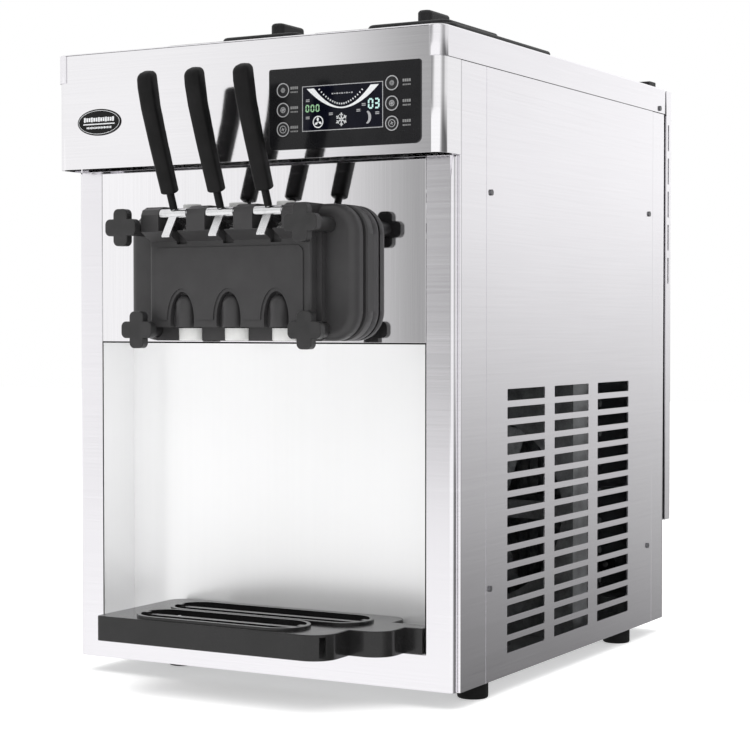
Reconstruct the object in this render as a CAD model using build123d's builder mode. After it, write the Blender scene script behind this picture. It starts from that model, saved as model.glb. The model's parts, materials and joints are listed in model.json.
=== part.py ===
from build123d import *
import os
from math import cos, radians, sin

os.makedirs("parts", exist_ok=True)

# Countertop soft serve machine with two flavours and a twist, in millimetres.
# +Z is up, -Y is the front, and the origin is on the counter, under the middle of the machine.

# ---------------------------------------------------------------- cabinet
half_width = 270.0
front = -276.8                  # plane of the lower front columns
head_front = front - 38.5       # the head overhangs the columns
panel_start = front + 9.2       # front edge of the side panels
rear_seam = front + 609.0
rear = front + 664.0
vent_rear = front + 692.0
foot_height = 20.0
head_bottom = 632.5
lip_z = 740.0
cover_top = 775.0
sheet = 1.5
seam = 0.4                      # gap where two sheets meet
corner_r = 13.5
cover_half = half_width + sheet
sides = (("left", -1), ("right", 1))

# front bay, where the cup is held
bay_half = 230.0
bay_back = front + 66.0
bay_floor = 62.0
bay_top = 418.0
column_outer = 266.0

# ---------------------------------------------------------------- dispensing head
spout_x = (-66.0, 0.0, 66.0)
spout_names = ("left", "centre", "right")
plate_half = 159.0
plate_edge = 11.0               # rounding of the removable plate's front edge
flange_half = 161.0
plate_bottom = 421.0
plate_top = 580.0
plate_corner = 35.0
flange_face = front - 14.0      # front of the plate on the cabinet
clamp_back = front - 20.0       # back of the removable plate
clamp_face = front - 38.0
block_half = 113.0
block_step = 7.0                # the rear half of the valve block is this much wider
block_mid = front - 48.0
block_face = front - 60.0
block_top = 551.0
lug_face = front - 80.0
lug_half = 111.0
piston_y = front - 38.0
piston_r = 11.0
pivot_y = front - 74.0
pivot_z = 571.0
pin_r = 4.0
fit = 0.05                      # running fit on a radius
slot_half = 20.0
slot_back = front - 35.0
handle_tilt = 22.0              # degrees the handles lean forward at rest
fork_arm = 30.0
fork_drop = 25.0                # degrees the fork hangs below level at rest

# ---------------------------------------------------------------- inside
barrel_x = 66.0
barrel_z = 500.5
barrel_r = 48.0
barrel_end = front + 260.0
hopper_x = 110.0
hopper_front = front + 104.0
hopper_rear = front + 390.0
hopper_bottom = 625.0
feed_y = front + 225.0
motor_x = -120.0
motor_z = 300.0
pulley_left_y = front + 338.0
pulley_right_y = front + 356.0
pulley_width = 16.0


def save(piece, name):
    """Label a finished piece and write it."""
    piece.part.label = name
    export_step(piece.part, f"parts/{name}.step")


def facing_front(y):
    """Plane across the machine at depth y, with its normal towards the front."""
    return Plane.XZ.offset(-y)


def folded_sheet(points, radius, thickness=sheet):
    """Section of a folded sheet whose outer line is given and whose inside is on the left."""
    with BuildLine() as section:
        FilletPolyline(*points, radius=radius)
        offset(amount=thickness, side=Side.LEFT)
    make_face(section.edges())


def block(x0, x1, y0, y1, z0, z1, mode=Mode.ADD):
    """Rectangular block between two corners."""
    with Locations(((x0 + x1) / 2, (y0 + y1) / 2, (z0 + z1) / 2)):
        Box(x1 - x0, y1 - y0, z1 - z0, mode=mode)


def rod_along_y(x, z, y0, y1, radius, mode=Mode.ADD):
    """Round bar along the depth of the machine."""
    with Locations(Location((x, (y0 + y1) / 2, z), (90, 0, 0))):
        Cylinder(radius, abs(y1 - y0), mode=mode)


# ================================================================ cabinet sheet metal

# base pan, a shallow tray that the feet carry
pan_half = 264.4
pan_front = front + 11.0
pan_rear = front + 658.0
pan_rim = 22.0
with BuildPart() as base_pan:
    block(-pan_half, pan_half, pan_front, pan_rear, foot_height, foot_height + pan_rim)
    block(-pan_half + sheet, pan_half - sheet, pan_front + sheet, pan_rear - sheet,
          foot_height + sheet, foot_height + pan_rim + 1, Mode.SUBTRACT)
save(base_pan, "base_pan")

# rubber feet
foot_r = 18.5
foot_places = (
    (247.0, front + 87.0),
    (-178.0, front + 100.0),
    (247.0, front + 536.0),
    (-247.0, front + 536.0),
)
with BuildPart() as feet:
    with Locations(*[(x, y, 0) for x, y in foot_places]):
        Cylinder(foot_r, foot_height, align=(Align.CENTER, Align.CENTER, Align.MIN))
    fillet(feet.edges().filter_by(GeomType.CIRCLE).group_by(Axis.Z)[0], 2.5)
save(feet, "feet")

# welded chassis: four posts, side rails, the deck under the freezing barrels and the motor shelf
post = 22.0
post_x = 251.0
post_front = front + 90.0
post_rear = front + 600.0
deck_z = 438.0
rail_top = 736.0
deck_rear = front + 334.0
shelf_z = 234.0
shelf_front = front + 140.0
shelf_half = 80.0
with BuildPart() as chassis_frame:
    for x in (-post_x, post_x):
        for y in (post_front, post_rear):
            block(x - post / 2, x + post / 2, y - post / 2, y + post / 2,
                  foot_height + sheet, rail_top)
        for top in (deck_z, rail_top):
            block(x - post / 2, x + post / 2, post_front, post_rear, top - post, top)
    block(-post_x, post_x, post_front - post / 2, deck_rear, deck_z - 3, deck_z)
    block(motor_x - shelf_half, motor_x + shelf_half, shelf_front, deck_rear,
          shelf_z - 3, shelf_z)
    for x in (motor_x - shelf_half, motor_x + shelf_half - 3):
        block(x, x + 3, shelf_front, deck_rear, shelf_z - 3, deck_z - 3)
save(chassis_frame, "chassis_frame")

# lower front frame: two columns and the sill below the bay
column_return = front + 8.8
with BuildPart() as front_frame:
    with BuildSketch(Plane.XY.offset(foot_height)):
        folded_sheet(
            [
                (-column_outer, column_return),
                (-column_outer, front),
                (column_outer, front),
                (column_outer, column_return),
            ],
            radius=5.5,
        )
    extrude(amount=head_bottom - 0.3 - foot_height)
    block(-bay_half, bay_half, front - 1, front + 3, bay_floor - 0.3, head_bottom + 1,
          Mode.SUBTRACT)
save(front_frame, "front_frame")

# bright front plate behind the dispensing head, open where the barrels come through
with BuildPart() as front_plate:
    block(-bay_half + 0.5, bay_half - 0.5, front, front + sheet, bay_top + 1, head_bottom - 0.3)
    block(-128, 128, front - 1, front + 3, plate_bottom + 16, plate_top - 15, Mode.SUBTRACT)
save(front_plate, "front_plate")

# bay liner: back wall, side walls, floor and ceiling
liner_wall = 1.2
with BuildPart() as bay_liner:
    block(-bay_half - liner_wall, bay_half + liner_wall, front + sheet, bay_back + liner_wall,
          bay_floor - liner_wall, bay_top + liner_wall)
    block(-bay_half, bay_half, front, bay_back, bay_floor, bay_top, Mode.SUBTRACT)
save(bay_liner, "bay_liner")

# side panels with the air louvres
louvre_starts = (front + 133.0, front + 271.5, front + 411.5)
louvre_length = 109.0
louvre_height = 14.0
louvre_pitch = 21.6
louvre_rows = 15
louvre_top = 363.3
crease_y = front + 75.0
panel_screws = ((87.0, 594.5), (595.0, 595.0), (85.0, 130.3), (593.0, 129.5))
lip_screw = (631.5, 746.0)
screw_hole_r = 2.1
panel_flange = 12.0
slot_z = louvre_top - louvre_height / 2
for side, sign in sides:
    with BuildPart() as side_panel:
        with BuildSketch(Plane.XY.offset(foot_height)):
            bend_line = [
                (sign * (half_width - panel_flange), panel_start),
                (sign * half_width, panel_start),
                (sign * half_width, rear_seam),
            ]
            folded_sheet(bend_line[::sign], radius=2.0)
        extrude(amount=lip_z - seam - foot_height)
        with BuildSketch(Plane.YZ.offset(sign * half_width - 5)):
            for start in louvre_starts:
                for row in range(louvre_rows):
                    with Locations((start + louvre_length / 2, slot_z - row * louvre_pitch)):
                        RectangleRounded(louvre_length, louvre_height, 1.5)
        extrude(amount=10, mode=Mode.SUBTRACT)
        # vertical fold line, a shallow step rolled into the sheet
        block(sign * half_width - 0.5, sign * half_width + 0.5, crease_y - 0.6, crease_y + 0.6,
              foot_height, lip_z, Mode.SUBTRACT)
        for depth, z in panel_screws:
            with Locations(Location((sign * half_width, front + depth, z), (0, 90, 0))):
                Cylinder(screw_hole_r, 10, mode=Mode.SUBTRACT)
    save(side_panel, f"side_panel_{side}")

# rear panel, wrapped round both rear corners, open behind the vent cover
vent_bottom = 159.0
gland_x, gland_z = 180.0, 90.0
gland_r = 8.0
gland_bore = 4.5
with BuildPart() as rear_panel:
    with BuildSketch(Plane.XY.offset(foot_height)):
        folded_sheet(
            [
                (half_width, rear_seam + 0.6),
                (half_width, rear),
                (-half_width, rear),
                (-half_width, rear_seam + 0.6),
            ],
            radius=corner_r,
        )
    extrude(amount=lip_z - seam - foot_height)
    block(-215, 215, rear - 5, rear + 5, vent_bottom + 45, lip_z - 40, Mode.SUBTRACT)
    rod_along_y(gland_x, gland_z, rear - 5, rear + 5, gland_r + 0.2, Mode.SUBTRACT)
save(rear_panel, "rear_panel")

# rear vent cover: a shallow box with slots on its sides and back
vent_half = 269.0
slot_pitch = 47.5
slot_tall = 37.0
side_slot_top = 726.0
corner_slot_top = 772.0
with BuildPart() as rear_vent_cover:
    with BuildSketch(Plane.XY.offset(vent_bottom)):
        folded_sheet(
            [
                (vent_half, rear + 1.8),
                (vent_half, vent_rear),
                (-vent_half, vent_rear),
                (-vent_half, rear + 1.8),
            ],
            radius=9.0,
        )
    extrude(amount=cover_top - 1.0 - vent_bottom)
    for z in (vent_bottom, cover_top - 1.0 - sheet):
        with BuildSketch(Plane.XY.offset(z)) as cap:
            with Locations((0, (rear + 1.8 + vent_rear) / 2)):
                Rectangle(2 * vent_half - 1, vent_rear - rear - 1.8)
            fillet(cap.vertices().group_by(Axis.Y)[-1], 9.0)
        extrude(amount=sheet)
    for row in range(6):
        top = corner_slot_top - row * slot_pitch
        for sign in (-1, 1):
            block(sign * vent_half - 12, sign * vent_half + 12, vent_rear - 7.5, vent_rear - 2.5,
                  top - slot_tall, top, Mode.SUBTRACT)
    for row in range(5):
        top = side_slot_top - row * slot_pitch
        for sign in (-1, 1):
            block(sign * vent_half - 5, sign * vent_half + 5, rear + 7.5, rear + 12.5,
                  top - slot_tall, top, Mode.SUBTRACT)
        with BuildSketch(facing_front(vent_rear + 5)):
            with Locations((0, top - slot_tall / 2)):
                with GridLocations(34, 10, 13, 1):
                    SlotOverall(slot_tall, 7, rotation=90)
        extrude(amount=12, mode=Mode.SUBTRACT)
save(rear_vent_cover, "rear_vent_cover")

# head shell: the overhanging box that carries the controls
panel_x0 = 44.0
panel_x1 = 244.4
panel_z0 = 643.0
panel_z1 = 737.0
head_rear = front + 8.0
with BuildPart() as head_shell:
    with BuildSketch(Plane.XY.offset(head_bottom)):
        folded_sheet(
            [
                (-half_width, head_rear),
                (-half_width, head_front),
                (half_width, head_front),
                (half_width, head_rear),
            ],
            radius=corner_r,
        )
    extrude(amount=cover_top - sheet - 0.3 - head_bottom)
    # underside, set up a little behind the front edge
    with BuildSketch(Plane.XY.offset(head_bottom + 4)) as underside:
        with Locations((0, (head_front + 0.8 + front - 1.5) / 2)):
            Rectangle(2 * half_width - 1.6, front - 1.5 - head_front - 0.8)
        fillet(underside.vertices().group_by(Axis.Y)[0], corner_r - 0.8)
    extrude(amount=sheet)
    block(panel_x0 + 6, panel_x1 - 6, head_front - 3, head_front + 4, panel_z0 + 6, panel_z1 - 6,
          Mode.SUBTRACT)
save(head_shell, "head_shell")

# top cover with its folded lip and the two hopper openings
hopper_half = 96.0
hopper_length = hopper_rear - hopper_front
hopper_mid = (hopper_front + hopper_rear) / 2
with BuildPart() as top_cover:
    with BuildSketch(Plane.XY.offset(lip_z)) as rim:
        with Locations((0, (head_front + rear) / 2)):
            Rectangle(2 * cover_half, rear - head_front + 2 * sheet)
        fillet(rim.vertices(), corner_r + sheet)
    extrude(amount=cover_top - lip_z)
    fillet(top_cover.faces().sort_by(Axis.Z)[-1].edges(), 2.0)
    with BuildSketch(Plane.XY.offset(lip_z)) as hollow:
        with Locations((0, (head_front + rear) / 2)):
            Rectangle(2 * half_width + 0.4, rear - head_front + 0.4)
        fillet(hollow.vertices(), corner_r + 0.2)
    extrude(amount=cover_top - sheet - lip_z, mode=Mode.SUBTRACT)
    with BuildSketch(Plane.XY.offset(cover_top - 3)):
        with Locations((-hopper_x, hopper_mid), (hopper_x, hopper_mid)):
            RectangleRounded(2 * hopper_half + 1, hopper_length + 1, 14)
    extrude(amount=5, mode=Mode.SUBTRACT)
    # no lip on the flat of the front, so the head face runs up to the top edge
    block(-half_width + corner_r + 2, half_width - corner_r - 2, head_front - 5, head_front + 5,
          lip_z - 1, cover_top - sheet, Mode.SUBTRACT)
    for sign in (-1, 1):
        with Locations(Location((sign * half_width, front + lip_screw[0], lip_screw[1]),
                                (0, 90, 0))):
            Cylinder(screw_hole_r, 10, mode=Mode.SUBTRACT)
save(top_cover, "top_cover")

# low black trim strip along the rear of the top
with BuildPart() as rear_trim:
    block(-262, 262, front + 616, front + 640, cover_top, cover_top + 8.5)
    fillet(rear_trim.edges().filter_by(Axis.X).group_by(Axis.Z)[-1], 2.0)
    for step in range(-6, 7):
        block(step * 38 - 13, step * 38 + 13, front + 622, front + 634, cover_top + 4,
              cover_top + 10, Mode.SUBTRACT)
save(rear_trim, "rear_trim")

# ================================================================ controls

panel_mid_x = (panel_x0 + panel_x1) / 2
panel_mid_z = (panel_z0 + panel_z1) / 2
window_x0, window_x1 = 89.3, 196.3
window_z0, window_z1 = 662.7, 715.0
button_r = 9.0
button_rows = (712.0, 689.2, 666.7)
button_columns = (("left", 63.7), ("right", 207.8))
panel_face = head_front - 1.8
with BuildPart() as control_panel:
    with BuildSketch(facing_front(head_front - 0.05)) as outline:
        with Locations((panel_mid_x, panel_mid_z)):
            Rectangle(panel_x1 - panel_x0, panel_z1 - panel_z0)
        fillet(outline.vertices().group_by(Axis.Y)[0], 8.0)
        fillet(outline.vertices().group_by(Axis.Y)[-1], 3.0)
    extrude(amount=head_front - 0.05 - panel_face)
    fillet(control_panel.faces().sort_by(Axis.Y)[0].edges(), 0.6)
    block(window_x0, window_x1, panel_face - 1, head_front + 1, window_z0, window_z1,
          Mode.SUBTRACT)
    for name, x in button_columns:
        for z in button_rows:
            rod_along_y(x, z, panel_face - 1, head_front + 1, button_r + 0.3, Mode.SUBTRACT)
save(control_panel, "control_panel")

# display, a sealed module that fills the window
with BuildPart() as display_window:
    block(window_x0 + 0.1, window_x1 - 0.1, panel_face + 0.2, head_front + 6, window_z0 + 0.1,
          window_z1 - 0.1)
    fillet(display_window.edges().filter_by(Axis.Y), 1.0)
save(display_window, "display_window")

# six push buttons, each with a flange behind the panel
for name, x in button_columns:
    for row, z in enumerate(button_rows, start=1):
        with BuildPart() as button:
            rod_along_y(x, z, panel_face - 0.5, head_front + 3, button_r)
            rod_along_y(x, z, head_front + 1.6, head_front + 3, button_r + 1.2)
            fillet(button.edges().filter_by(GeomType.CIRCLE).sort_by(Axis.Y)[0], 0.4)
        save(button, f"button_{name}_{row}")

# oval badge on the head
with BuildPart() as badge_plate:
    with BuildSketch(facing_front(head_front - 0.05)):
        with Locations((-203.8, 689.1)):
            Ellipse(33, 16.4)
    extrude(amount=1.2)
    fillet(badge_plate.faces().sort_by(Axis.Y)[0].edges(), 0.5)
save(badge_plate, "badge_plate")

# ================================================================ hoppers and lids

tank_wall = 1.5
outlet_r = 12.0
air_tube_r = 8.0
rim_width = 7.0
with BuildPart() as hoppers:
    for sign in (-1, 1):
        centre = (sign * hopper_x, hopper_mid)
        with BuildSketch(Plane.XY.offset(hopper_bottom)):
            with Locations(centre):
                RectangleRounded(2 * hopper_half, hopper_length, 13.5)
        extrude(amount=cover_top - hopper_bottom)
        with BuildSketch(Plane.XY.offset(cover_top)):
            with Locations(centre):
                RectangleRounded(2 * (hopper_half + rim_width), hopper_length + 2 * rim_width, 18)
        extrude(amount=tank_wall)
        with BuildSketch(Plane.XY.offset(hopper_bottom + tank_wall)):
            with Locations(centre):
                RectangleRounded(2 * (hopper_half - tank_wall), hopper_length - 2 * tank_wall, 12)
        extrude(amount=cover_top - hopper_bottom, mode=Mode.SUBTRACT)
        # outlet neck down to the barrel
        with Locations((sign * barrel_x, feed_y, (barrel_z + 58.3 + hopper_bottom + 1) / 2)):
            Cylinder(outlet_r, hopper_bottom + 1 - barrel_z - 58.3)
        with Locations((sign * barrel_x, feed_y, (barrel_z + 50 + hopper_bottom + 5) / 2)):
            Cylinder(air_tube_r + 0.3, hopper_bottom + 5 - barrel_z - 50, mode=Mode.SUBTRACT)
save(hoppers, "hoppers")

# air tubes that stand in the hopper outlets and meter the mix
with BuildPart() as air_tubes:
    for sign in (-1, 1):
        with BuildSketch(Plane.XY.offset(barrel_z + 64)):
            with Locations((sign * barrel_x, feed_y)):
                Circle(air_tube_r)
                Circle(air_tube_r - 2.5, mode=Mode.SUBTRACT)
        extrude(amount=760 - barrel_z - 64)
        rod_along_y(sign * barrel_x, hopper_bottom + 8, feed_y - 12, feed_y + 12, 2.2,
                    Mode.SUBTRACT)
save(air_tubes, "air_tubes")

# lids: base, raised pad and a bar to lift it by
lid_half = 101.6
lid_length = 299.0
lid_mid = front + 249.5
lid_base_top = 800.5
lid_pad_top = 817.5
lid_bar_top = 839.2
lid_bottom = cover_top + tank_wall + 0.3
for side, sign in sides:
    centre = (sign * hopper_x, lid_mid)
    with BuildPart() as lid:
        with BuildSketch(Plane.XY.offset(lid_bottom)):
            with Locations(centre):
                RectangleRounded(2 * lid_half, lid_length, 16)
        extrude(amount=lid_base_top - lid_bottom)
        fillet(lid.faces().sort_by(Axis.Z)[-1].edges(), 4.0)
        with BuildSketch(Plane.XY.offset(lid_base_top - 1)):
            with Locations(centre):
                RectangleRounded(118, 153, 14)
        extrude(amount=lid_pad_top - lid_base_top + 1)
        fillet(lid.faces().sort_by(Axis.Z)[-1].edges(), 4.0)
        with BuildSketch(Plane.XY.offset(lid_pad_top - 1)):
            with Locations(centre):
                RectangleRounded(20, 61, 8)
        extrude(amount=lid_bar_top - lid_pad_top + 1)
        fillet(lid.faces().sort_by(Axis.Z)[-1].edges(), 4.5)
        with BuildSketch(Plane.XY.offset(lid_bottom)):
            with Locations(centre):
                RectangleRounded(2 * lid_half - 8, lid_length - 8, 12)
        extrude(amount=lid_base_top - lid_bottom - 4, mode=Mode.SUBTRACT)
    save(lid, f"lid_{side}")

# ================================================================ dispensing head

stud_places = ((124.5, 555.0, front - 104.0), (117.0, 434.0, front - 83.0))
stud_r = 4.0
knob_head = 10.5
knob_neck_r = 9.0
knob_reach = 22.0
knob_arm = 20.0
port_z = 459.0

# plate on the cabinet that the barrels open through
with BuildPart() as cylinder_flange:
    with BuildSketch(facing_front(front - 0.05)):
        with Locations((0, (plate_bottom + plate_top) / 2)):
            RectangleRounded(2 * flange_half, plate_top - plate_bottom, plate_corner)
    extrude(amount=front - 0.05 - flange_face)
    fillet(cylinder_flange.faces().sort_by(Axis.Y)[0].edges(), 2.0)
    with BuildSketch(facing_front(flange_face + 1)):
        with Locations((0, (plate_bottom + plate_top) / 2)):
            RectangleRounded(2 * plate_half - 20, plate_top - plate_bottom - 20, plate_corner - 10)
    extrude(amount=flange_face + 1 - clamp_back)
    for sign in (-1, 1):
        rod_along_y(sign * barrel_x, barrel_z, front + 1, clamp_back - 1, barrel_r + 3.0,
                    Mode.SUBTRACT)
        for x, z, face in stud_places:
            rod_along_y(sign * x, z, front - 6, clamp_back - 1, stud_r, Mode.SUBTRACT)
save(cylinder_flange, "cylinder_flange")

# removable head: clamp plate, valve block, lugs for the pivot, spout domes and bores
lug_bottom = 550.0
arch_half, arch_height = 21.0, 37.0
arch_base = 446.0
relief_top = 531.5
relief_half = 103.0
recess_face = block_face + 8.0
dome_r = 12.5
cap_r = 16.3
lip_bottom = 437.0
with BuildPart() as dispensing_head:
    with BuildSketch(facing_front(clamp_back - 0.05)):
        with Locations((0, (plate_bottom + plate_top) / 2)):
            RectangleRounded(2 * plate_half, plate_top - plate_bottom, plate_corner)
    extrude(amount=clamp_back - 0.05 - clamp_face)
    fillet(dispensing_head.faces().sort_by(Axis.Y)[0].edges(), plate_edge)
    # valve block in two steps
    with BuildSketch(facing_front(clamp_face + 1)) as step_profile:
        with Locations((0, (plate_bottom + block_top) / 2)):
            Rectangle(2 * (block_half + block_step), block_top - plate_bottom)
        fillet(step_profile.vertices(), 6.0)
    extrude(amount=clamp_face + 1 - block_mid)
    with BuildSketch(facing_front(block_mid + 1)) as front_profile:
        with Locations((0, (plate_bottom + block_top) / 2)):
            Rectangle(2 * block_half, block_top - plate_bottom)
        fillet(front_profile.vertices().group_by(Axis.Y)[0], 6.0)
    extrude(amount=block_mid + 1 - block_face)
    fillet(dispensing_head.faces().sort_by(Axis.Y)[0].edges().filter_by(Axis.Z), 3.5)
    # lug bar along the top, with sloped shoulders front and back
    with BuildSketch(Plane.YZ.offset(-lug_half)):
        with BuildLine():
            Polyline(
                (clamp_back - 7, plate_top),
                (lug_face + 12, plate_top),
                (lug_face + 3, plate_top - 4),
                (lug_face, plate_top - 10),
                (lug_face, lug_bottom),
                (block_face, block_top - 12),
                (block_face, relief_top + 2),
                (clamp_back - 7, relief_top + 2),
                close=True,
            )
        make_face()
    extrude(amount=2 * lug_half)
    # raised front face, arched over each spout
    with BuildSketch(facing_front(block_face + 0.5)) as relief:
        with Locations((0, (arch_base + relief_top) / 2)):
            Rectangle(2 * relief_half, relief_top - arch_base)
        fillet(relief.vertices(), 9.0)
        with Locations(*[(x, arch_base) for x in spout_x]):
            Ellipse(arch_half, arch_height, mode=Mode.SUBTRACT)
    extrude(amount=2.0)
    # recess and dome of each spout
    with BuildSketch(facing_front(recess_face)):
        with Locations(*[(x, arch_base) for x in spout_x]):
            Ellipse(arch_half - 4, arch_height - 4)
    extrude(amount=15, mode=Mode.SUBTRACT)
    for x in spout_x:
        with Locations((x, recess_face + 1, (lip_bottom + 463) / 2)):
            Cylinder(dome_r, 463 - lip_bottom)
        with Locations((x, recess_face + 1, 463)):
            Sphere(dome_r)
    # undercut below the front, where the nozzle caps show
    block(-block_half - 10, block_half + 10, block_face - 5, piston_y - 4, plate_bottom - 1,
          lip_bottom, Mode.SUBTRACT)
    for name, x in zip(spout_names, spout_x):
        # slot for the lever, channel for its stop tongue, piston bore and cap seat
        block(x - slot_half, x + slot_half, lug_face - 5, slot_back, block_top, plate_top + 5,
              Mode.SUBTRACT)
        block(x - 7.5, x + 7.5, lug_face - 1, block_face + 6, 535.5, block_top + 1,
              Mode.SUBTRACT)
        with Locations((x, piston_y, (lip_bottom - 1 + plate_top + 5) / 2)):
            Cylinder(piston_r + fit, plate_top + 5 - lip_bottom + 1, mode=Mode.SUBTRACT)
        with Locations((x, piston_y, (plate_bottom - 1 + lip_bottom) / 2)):
            Cylinder(cap_r + 0.5, lip_bottom - plate_bottom + 1, mode=Mode.SUBTRACT)
        rod_along_y(x, port_z, clamp_back + 1, piston_y, 6.0, Mode.SUBTRACT)
    # mix chambers and the cross channel to the middle spout, open to the back
    for sign in (-1, 1):
        rod_along_y(sign * barrel_x, barrel_z, clamp_back + 1, clamp_back - 5, barrel_r - 2,
                    Mode.SUBTRACT)
    block(-40, 40, clamp_back - 5, clamp_back + 1, port_z - 6, port_z + 6, Mode.SUBTRACT)
    # bore of the pivot pin, stud holes and clearance round the knob necks
    with Locations(Location((0, pivot_y, pivot_z), (0, 90, 0))):
        Cylinder(pin_r, 2 * lug_half + 4, mode=Mode.SUBTRACT)
    for sign in (-1, 1):
        for x, z, face in stud_places:
            rod_along_y(sign * x, z, clamp_back + 1, face, stud_r + 0.5, Mode.SUBTRACT)
            rod_along_y(sign * x, z, clamp_face, face - 5, knob_neck_r + 1.0, Mode.SUBTRACT)
save(dispensing_head, "dispensing_head")

# studs that the knobs run on
with BuildPart() as head_studs:
    for sign in (-1, 1):
        for x, z, face in stud_places:
            rod_along_y(sign * x, z, front - 6, face + 6, stud_r)
save(head_studs, "head_studs")

# four-lobed hand nuts
for height, (x, z, face) in zip(("top", "bottom"), stud_places):
    for side, sign in sides:
        with BuildPart() as knob:
            with BuildSketch(facing_front(face + knob_head)) as cross:
                with Locations((sign * x, z)):
                    RectangleRounded(2 * knob_reach, knob_arm, 6.5)
                    RectangleRounded(knob_arm, 2 * knob_reach, 6.5)
            extrude(amount=knob_head)
            fillet(knob.faces().sort_by(Axis.Y)[0].edges(), 1.5)
            rod_along_y(sign * x, z, face + knob_head - 1, clamp_face - 0.4, knob_neck_r)
            rod_along_y(sign * x, z, face + 5, clamp_face + 1, stud_r + fit, Mode.SUBTRACT)
        save(knob, f"knob_{height}_{side}")

# white nozzle caps under the spouts
with BuildPart() as nozzle_caps:
    for x in spout_x:
        with Locations((x, piston_y, plate_bottom + 0.5 + 7.25)):
            Cylinder(cap_r, 14.5)
    chamfer(nozzle_caps.edges().filter_by(GeomType.CIRCLE).group_by(Axis.Z)[0], length=1.0)
    for x in spout_x:
        # star-shaped outlet and the socket above it
        with BuildSketch(Plane.XY.offset(plate_bottom)):
            with Locations((x, piston_y)):
                for turn in (0, 60, 120):
                    SlotOverall(18, 3.6, rotation=turn)
        extrude(amount=8, mode=Mode.SUBTRACT)
        with Locations((x, piston_y, plate_bottom + 12)):
            Cylinder(12.0, 9.0, mode=Mode.SUBTRACT)
save(nozzle_caps, "nozzle_caps")

# the pin that the three levers turn on
with BuildPart() as pivot_pin:
    with Locations(Location((0, pivot_y, pivot_z), (0, 90, 0))):
        Cylinder(pin_r, 2 * lug_half - 3)
save(pivot_pin, "pivot_pin")

# pistons, levers and grips
tip_y = pivot_y + fork_arm * cos(radians(fork_drop))
tip_z = pivot_z - fork_arm * sin(radians(fork_drop))
tip_r = 4.0
hub_r = 5.8
hub_half = 18.5
lever_half = 6.0
neck_r = 4.6
core_r = 2.8
tongue_reach_y, tongue_reach_z = -18.0, -27.0
up = Vector(0, -sin(radians(handle_tilt)), cos(radians(handle_tilt)))
lean_plane = Plane(origin=(0, pivot_y, pivot_z), x_dir=(1, 0, 0), z_dir=up)
grip_start = 26.0
grip_sections = (               # distance along the shaft, bend, width, depth, corner
    (grip_start, 0.0, 20.0, 15.5, 5.0),
    (grip_start + 60, 0.0, 21.0, 16.5, 5.5),
    (grip_start + 104, 1.2, 21.5, 18.0, 6.0),
    (grip_start + 128, 4.5, 22.0, 19.0, 6.5),
    (grip_start + 145, 8.5, 21.0, 18.5, 6.5),
)
for name, x in zip(spout_names, spout_x):
    with BuildPart() as piston:
        with Locations((x, piston_y, (lip_bottom + 584) / 2)):
            Cylinder(piston_r, 584 - lip_bottom)
        chamfer(piston.edges().filter_by(GeomType.CIRCLE).group_by(Axis.Z)[-1], length=1.0)
        # notch for the lever's fork and two seal grooves
        block(x - 15, x + 15, piston_y - 15, piston_y - 1.0, tip_z - 4.5, tip_z + 4.5,
              Mode.SUBTRACT)
        for groove in (lip_bottom + 8, lip_bottom + 45):
            with BuildSketch(Plane.XY.offset(groove)):
                with Locations((x, piston_y)):
                    Circle(piston_r + 1)
                    Circle(piston_r - 1.2, mode=Mode.SUBTRACT)
            extrude(amount=3.0, mode=Mode.SUBTRACT)
    save(piston, f"piston_{name}")

    with BuildPart() as lever:
        with Locations(Location((x, pivot_y, pivot_z), (0, 90, 0))):
            Cylinder(hub_r, 2 * hub_half)
        with BuildSketch(lean_plane):
            with Locations((x, 0)):
                Circle(core_r)
        extrude(amount=100)
        # fork arm back to the piston, with a round cross bar in its notch
        with BuildSketch(Plane.YZ.offset(x - lever_half)):
            with BuildLine():
                Line((pivot_y, pivot_z), (tip_y, tip_z))
                offset(amount=2.5, side=Side.BOTH)
            make_face()
        extrude(amount=2 * lever_half)
        with Locations(Location((x, tip_y, tip_z), (0, 90, 0))):
            Cylinder(tip_r, 2 * lever_half)
        # stop tongue, down and forward
        with BuildSketch(Plane.YZ.offset(x - 5.5)):
            with BuildLine():
                Line((pivot_y - 3, pivot_z - 4),
                     (pivot_y + tongue_reach_y, pivot_z + tongue_reach_z))
                offset(amount=1.6, side=Side.BOTH)
            make_face()
        extrude(amount=11)
        with Locations(Location((x, pivot_y, pivot_z), (0, 90, 0))):
            Cylinder(pin_r + fit, 2 * hub_half + 2, mode=Mode.SUBTRACT)
    save(lever, f"lever_{name}")

    with BuildPart() as grip:
        with BuildSketch(lean_plane.offset(hub_r + 0.1)):
            with Locations((x, 0)):
                Circle(neck_r)
        extrude(amount=grip_start - hub_r + 1)
        for height, bend, width, depth, corner in grip_sections:
            with BuildSketch(lean_plane.offset(height)):
                with Locations((x, bend)):
                    RectangleRounded(width, depth, corner)
        loft()
        fillet(grip.faces().sort_by(Axis.Z)[-1].edges(), 6.0)
        with BuildSketch(lean_plane):
            with Locations((x, 0)):
                Circle(core_r)
        extrude(amount=100, mode=Mode.SUBTRACT)
    save(grip, f"grip_{name}")

# ================================================================ drip tray

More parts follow.
